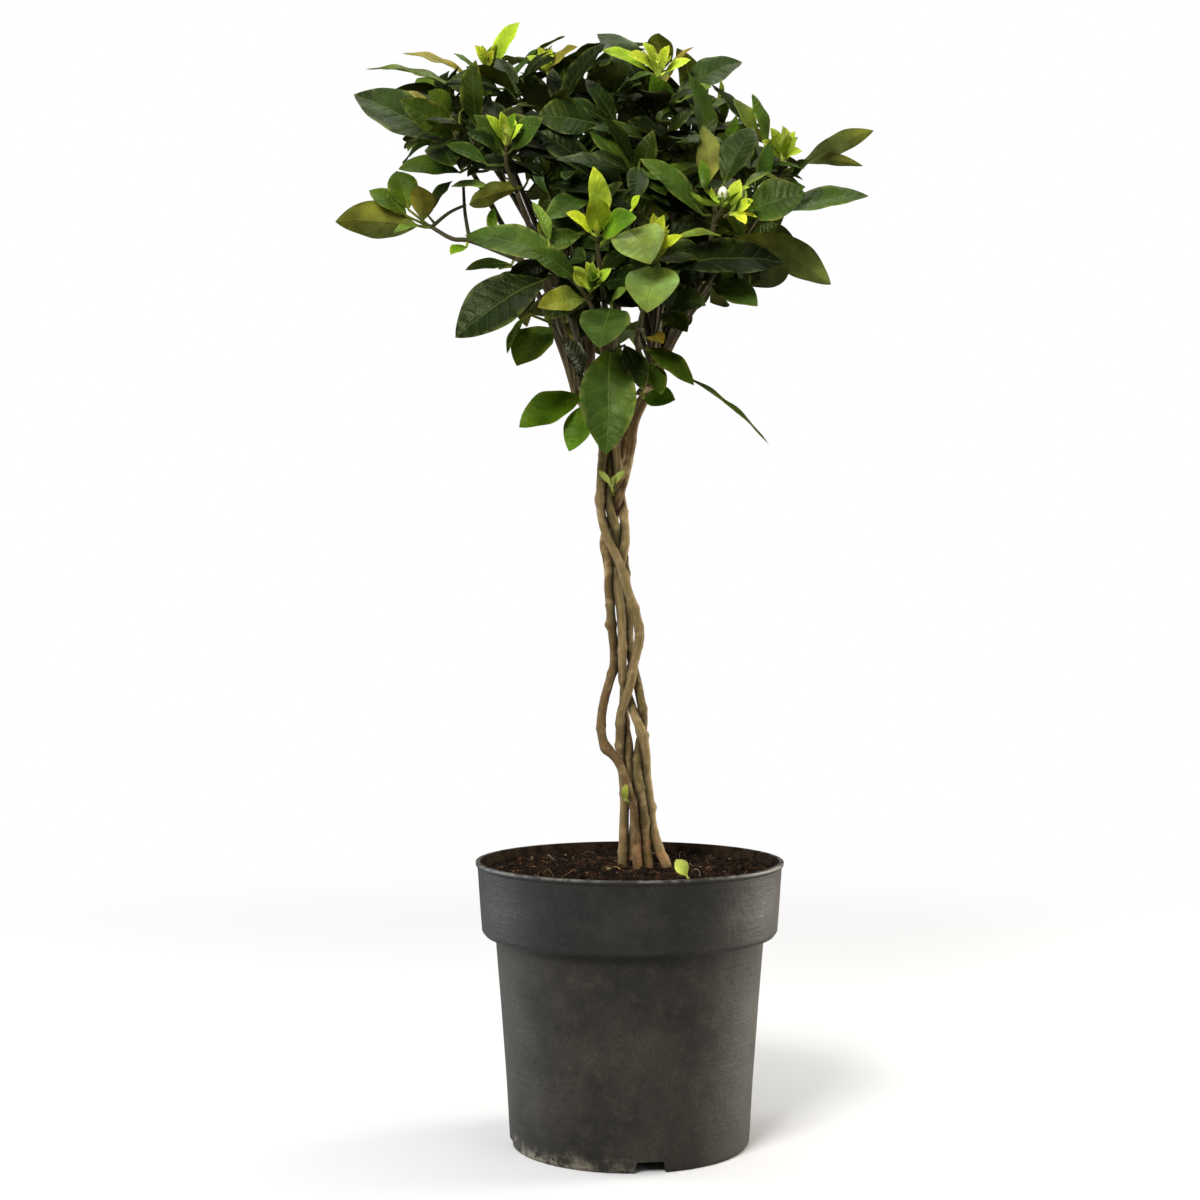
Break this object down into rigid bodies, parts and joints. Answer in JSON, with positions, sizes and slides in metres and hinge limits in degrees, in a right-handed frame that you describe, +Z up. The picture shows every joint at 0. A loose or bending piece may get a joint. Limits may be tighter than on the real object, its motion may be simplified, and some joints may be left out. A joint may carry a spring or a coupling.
{
  "type": "potted gardenia standard",
  "caption": "Gardenia grown as a small standard: woody stems braided into one trunk, a loose leafy crown with young shoots and a bud, in a round nursery pot of peat.",
  "frame": {"origin": "on the pot's axis, on the surface that the pot stands on", "axes": "+Z up along the pot's axis, -Y towards the front of the plant"},
  "size_m": [0.3279, 0.2956, 0.6959],
  "materials": {
    "pot_plastic": "dark charcoal recycled plastic, matt with a faint sheen, dusty and scuffed",
    "peat": "dark brown moist peat with reddish fibres",
    "bark": "tan bark with darker fissures and leaf scars",
    "leaf_green": "glossy dark green leaves with sunk veins",
    "leaf_young": "bright yellow-green young leaves, soft sheen",
    "petal": "creamy white bud, soft sheen",
    "leaf_fallen": "pale yellow-green fallen leaf",
    "leaf_dry": "dry pale brown leaf scrap"
  },
  "bodies": {
    "root": {"nursery_pot": "pot_plastic", "potting_soil": "peat", "stem_1": "bark", "stem_2": "bark", "stem_3": "bark", "stem_4": "bark", "stem_5": "bark", "white_bud": "petal", "sprout_upper": "leaf_young", "sprout_lower": "leaf_young", "fallen_leaf": "leaf_fallen", "dry_curl": "leaf_dry", "shoot_under_centre": "leaf_green", "shoot_front_centre": "leaf_green", "shoot_front_right": "leaf_green", "shoot_front_left": "leaf_green", "shoot_right_front": "leaf_green", "shoot_under_right": "leaf_green", "shoot_low_right": "leaf_green", "shoot_under_left": "leaf_green", "shoot_braid_left": "leaf_green", "shoot_braid_right": "leaf_green", "shoot_upper_left": "leaf_green", "shoot_left": "leaf_green", "shoot_right": "leaf_green", "shoot_top": "leaf_green", "shoot_low_left": "leaf_green", "shoot_top_left": "leaf_green", "shoot_far_top_left": "leaf_green", "shoot_inner": "leaf_green", "young_front_centre": "leaf_young", "young_top": "leaf_young", "young_top_left": "leaf_young", "young_far_top_left": "leaf_young", "young_upper_left": "leaf_young", "young_front_left": "leaf_young", "young_front_right": "leaf_young", "young_right_front": "leaf_young", "young_right": "leaf_young", "shoot_mid_centre": "leaf_green", "shoot_mid_right": "leaf_green", "shoot_mid_left": "leaf_green", "shoot_mid_upper": "leaf_green", "shoot_mid_upper_right": "leaf_green", "shoot_mid_upper_left": "leaf_green", "shoot_back_top_right": "leaf_green", "shoot_back_right": "leaf_green", "shoot_back_low_right": "leaf_green", "shoot_back_far_right": "leaf_green", "shoot_back_low": "leaf_green", "shoot_back_centre": "leaf_green", "shoot_back_top_left": "leaf_green", "shoot_back_left": "leaf_green", "shoot_back_far_left": "leaf_green", "shoot_back_low_left": "leaf_green", "shoot_back_left_centre": "leaf_green"}
  },
  "joints": []
}
